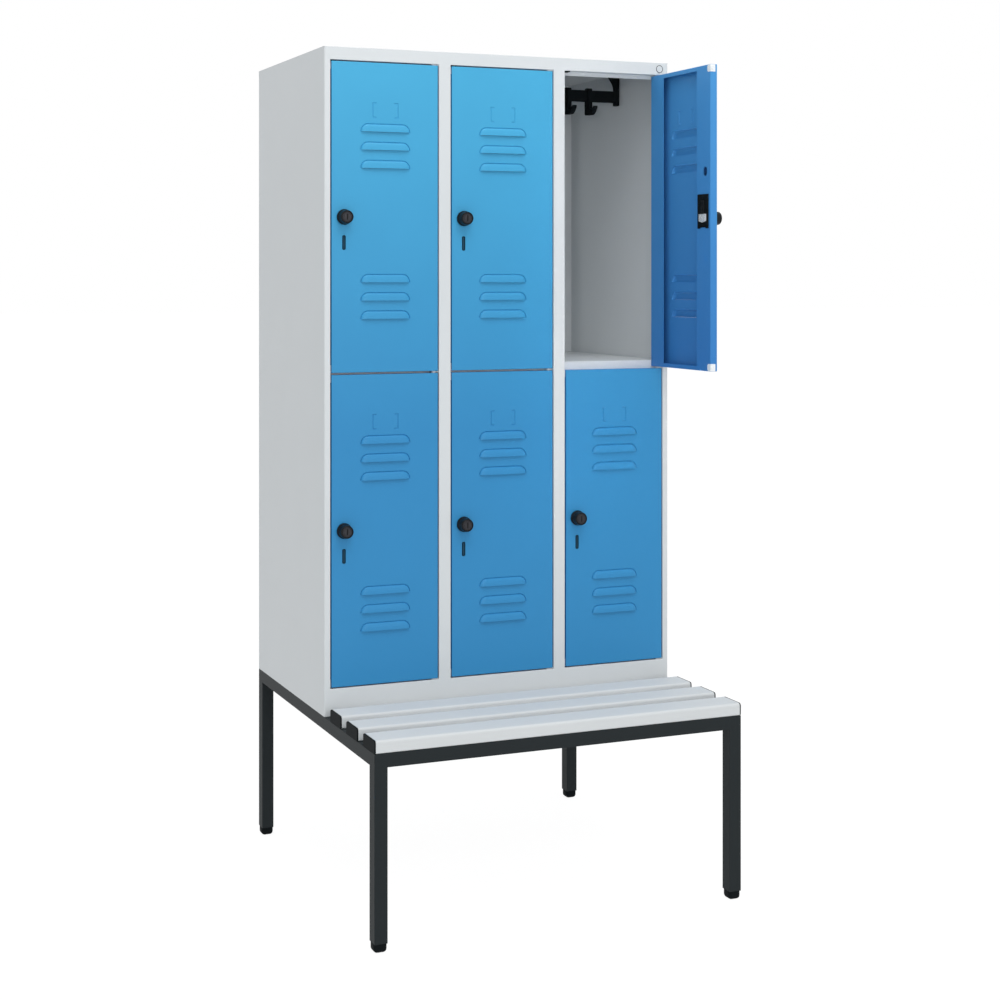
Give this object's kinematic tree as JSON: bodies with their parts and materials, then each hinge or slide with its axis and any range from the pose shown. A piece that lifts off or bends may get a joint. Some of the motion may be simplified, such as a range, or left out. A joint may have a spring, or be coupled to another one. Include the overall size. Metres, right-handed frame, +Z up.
{
  "type": "double tier locker",
  "caption": "Steel locker in two tiers on a bench base, with hinged louvred doors, rotary knob locks, coat rails with sliding hooks, and a slatted seat along the front.",
  "frame": {"origin": "on the floor, at the middle of the width and of the whole depth with the bench", "axes": "+Z up, +X to the right of someone facing the doors, the doors and the bench face -Y"},
  "size_m": [0.904, 0.815, 1.9503],
  "materials": {
    "cabinet_paint": "light grey powder coat, satin",
    "door_paint": "sky blue powder coat, satin",
    "frame_paint": "anthracite powder coat, satin",
    "slat_plastic": "light grey moulded plastic",
    "black_plastic": "black moulded plastic",
    "lock_plastic": "black moulded plastic"
  },
  "bodies": {
    "cabinet": {"back_panel": "cabinet_paint", "base_frame": "frame_paint", "bottom_panel": "cabinet_paint", "partition_left": "cabinet_paint", "partition_right": "cabinet_paint", "side_left": "cabinet_paint", "side_right": "cabinet_paint", "top_panel": "cabinet_paint", "shelf_left": "cabinet_paint", "shelf_middle": "cabinet_paint", "shelf_right": "cabinet_paint", "foot_front_left": "black_plastic", "foot_front_right": "black_plastic", "foot_rear_left": "black_plastic", "foot_rear_right": "black_plastic", "slat_front": "slat_plastic", "slat_middle": "slat_plastic", "slat_back": "slat_plastic", "slat_cap_front_left": "black_plastic", "slat_cap_front_right": "black_plastic", "slat_cap_middle_left": "black_plastic", "slat_cap_middle_right": "black_plastic", "slat_cap_back_left": "black_plastic", "slat_cap_back_right": "black_plastic", "coat_rail_left_lower": "black_plastic", "coat_rail_left_upper": "black_plastic", "coat_rail_middle_lower": "black_plastic", "coat_rail_middle_upper": "black_plastic", "coat_rail_right_lower": "black_plastic", "coat_rail_right_upper": "black_plastic"},
    "door_left_lower": {"door_left_lower": "door_paint", "lock_case_left_lower": "lock_plastic"},
    "lock_left_lower": {"lock_rotor_left_lower": "lock_plastic"},
    "coat_hook_left_lower_1": {"coat_hook_left_lower_1": "black_plastic"},
    "coat_hook_left_lower_2": {"coat_hook_left_lower_2": "black_plastic"},
    "door_left_upper": {"door_left_upper": "door_paint", "lock_case_left_upper": "lock_plastic"},
    "lock_left_upper": {"lock_rotor_left_upper": "lock_plastic"},
    "coat_hook_left_upper_1": {"coat_hook_left_upper_1": "black_plastic"},
    "coat_hook_left_upper_2": {"coat_hook_left_upper_2": "black_plastic"},
    "door_middle_lower": {"door_middle_lower": "door_paint", "lock_case_middle_lower": "lock_plastic"},
    "lock_middle_lower": {"lock_rotor_middle_lower": "lock_plastic"},
    "coat_hook_middle_lower_1": {"coat_hook_middle_lower_1": "black_plastic"},
    "coat_hook_middle_lower_2": {"coat_hook_middle_lower_2": "black_plastic"},
    "door_middle_upper": {"door_middle_upper": "door_paint", "lock_case_middle_upper": "lock_plastic"},
    "lock_middle_upper": {"lock_rotor_middle_upper": "lock_plastic"},
    "coat_hook_middle_upper_1": {"coat_hook_middle_upper_1": "black_plastic"},
    "coat_hook_middle_upper_2": {"coat_hook_middle_upper_2": "black_plastic"},
    "door_right_lower": {"door_right_lower": "door_paint", "lock_case_right_lower": "lock_plastic"},
    "lock_right_lower": {"lock_rotor_right_lower": "lock_plastic"},
    "coat_hook_right_lower_1": {"coat_hook_right_lower_1": "black_plastic"},
    "coat_hook_right_lower_2": {"coat_hook_right_lower_2": "black_plastic"},
    "door_right_upper": {"door_right_upper": "door_paint", "lock_case_right_upper": "lock_plastic"},
    "lock_right_upper": {"lock_rotor_right_upper": "lock_plastic"},
    "coat_hook_right_upper_1": {"coat_hook_right_upper_1": "black_plastic"},
    "coat_hook_right_upper_2": {"coat_hook_right_upper_2": "black_plastic"}
  },
  "joints": [
    {"name": "door_left_lower_hinge", "type": "hinge", "parent": "cabinet", "child": "door_left_lower", "pos_m": [-0.177, -0.0855, 0.84205], "axis": [0, 0, 1], "range_deg": [0, 110]},
    {"name": "lock_left_lower_turn", "type": "hinge", "parent": "door_left_lower", "child": "lock_left_lower", "pos_m": [-0.402, -0.0925, 0.84205], "axis": [0, -1, 0], "range_deg": [0, 90]},
    {"name": "coat_hook_left_lower_1_slide", "type": "slide", "parent": "cabinet", "child": "coat_hook_left_lower_1", "axis": [1, 0, 0], "range_m": [-0.1265, 0.0237]},
    {"name": "coat_hook_left_lower_2_slide", "type": "slide", "parent": "cabinet", "child": "coat_hook_left_lower_2", "axis": [1, 0, 0], "range_m": [-0.0237, 0.0685]},
    {"name": "door_left_upper_hinge", "type": "hinge", "parent": "cabinet", "child": "door_left_upper", "pos_m": [-0.177, -0.0855, 1.56055], "axis": [0, 0, 1], "range_deg": [0, 110]},
    {"name": "lock_left_upper_turn", "type": "hinge", "parent": "door_left_upper", "child": "lock_left_upper", "pos_m": [-0.402, -0.0925, 1.56055], "axis": [0, -1, 0], "range_deg": [0, 90]},
    {"name": "coat_hook_left_upper_1_slide", "type": "slide", "parent": "cabinet", "child": "coat_hook_left_upper_1", "axis": [1, 0, 0], "range_m": [-0.1265, 0.0237]},
    {"name": "coat_hook_left_upper_2_slide", "type": "slide", "parent": "cabinet", "child": "coat_hook_left_upper_2", "axis": [1, 0, 0], "range_m": [-0.0237, 0.0685]},
    {"name": "door_middle_lower_hinge", "type": "hinge", "parent": "cabinet", "child": "door_middle_lower", "pos_m": [0.123, -0.0855, 0.84205], "axis": [0, 0, 1], "range_deg": [0, 110]},
    {"name": "lock_middle_lower_turn", "type": "hinge", "parent": "door_middle_lower", "child": "lock_middle_lower", "pos_m": [-0.102, -0.0925, 0.84205], "axis": [0, -1, 0], "range_deg": [0, 90]},
    {"name": "coat_hook_middle_lower_1_slide", "type": "slide", "parent": "cabinet", "child": "coat_hook_middle_lower_1", "axis": [1, 0, 0], "range_m": [-0.1265, 0.0237]},
    {"name": "coat_hook_middle_lower_2_slide", "type": "slide", "parent": "cabinet", "child": "coat_hook_middle_lower_2", "axis": [1, 0, 0], "range_m": [-0.0237, 0.0685]},
    {"name": "door_middle_upper_hinge", "type": "hinge", "parent": "cabinet", "child": "door_middle_upper", "pos_m": [0.123, -0.0855, 1.56055], "axis": [0, 0, 1], "range_deg": [0, 110]},
    {"name": "lock_middle_upper_turn", "type": "hinge", "parent": "door_middle_upper", "child": "lock_middle_upper", "pos_m": [-0.102, -0.0925, 1.56055], "axis": [0, -1, 0], "range_deg": [0, 90]},
    {"name": "coat_hook_middle_upper_1_slide", "type": "slide", "parent": "cabinet", "child": "coat_hook_middle_upper_1", "axis": [1, 0, 0], "range_m": [-0.1265, 0.0237]},
    {"name": "coat_hook_middle_upper_2_slide", "type": "slide", "parent": "cabinet", "child": "coat_hook_middle_upper_2", "axis": [1, 0, 0], "range_m": [-0.0237, 0.0685]},
    {"name": "door_right_lower_hinge", "type": "hinge", "parent": "cabinet", "child": "door_right_lower", "pos_m": [0.423, -0.0855, 0.84205], "axis": [0, 0, 1], "range_deg": [0, 110]},
    {"name": "lock_right_lower_turn", "type": "hinge", "parent": "door_right_lower", "child": "lock_right_lower", "pos_m": [0.198, -0.0925, 0.84205], "axis": [0, -1, 0], "range_deg": [0, 90]},
    {"name": "coat_hook_right_lower_1_slide", "type": "slide", "parent": "cabinet", "child": "coat_hook_right_lower_1", "axis": [1, 0, 0], "range_m": [-0.1265, 0.0237]},
    {"name": "coat_hook_right_lower_2_slide", "type": "slide", "parent": "cabinet", "child": "coat_hook_right_lower_2", "axis": [1, 0, 0], "range_m": [-0.0237, 0.0685]},
    {"name": "door_right_upper_hinge", "type": "hinge", "parent": "cabinet", "child": "door_right_upper", "pos_m": [0.423, -0.0855, 1.56055], "axis": [0, 0, 1], "range_deg": [-90, 20]},
    {"name": "lock_right_upper_turn", "type": "hinge", "parent": "door_right_upper", "child": "lock_right_upper", "pos_m": [0.43, -0.3105, 1.56055], "axis": [1, 0, 0], "range_deg": [0, 90]},
    {"name": "coat_hook_right_upper_1_slide", "type": "slide", "parent": "cabinet", "child": "coat_hook_right_upper_1", "axis": [1, 0, 0], "range_m": [-0.1265, 0.0237]},
    {"name": "coat_hook_right_upper_2_slide", "type": "slide", "parent": "cabinet", "child": "coat_hook_right_upper_2", "axis": [1, 0, 0], "range_m": [-0.0237, 0.0685]}
  ]
}
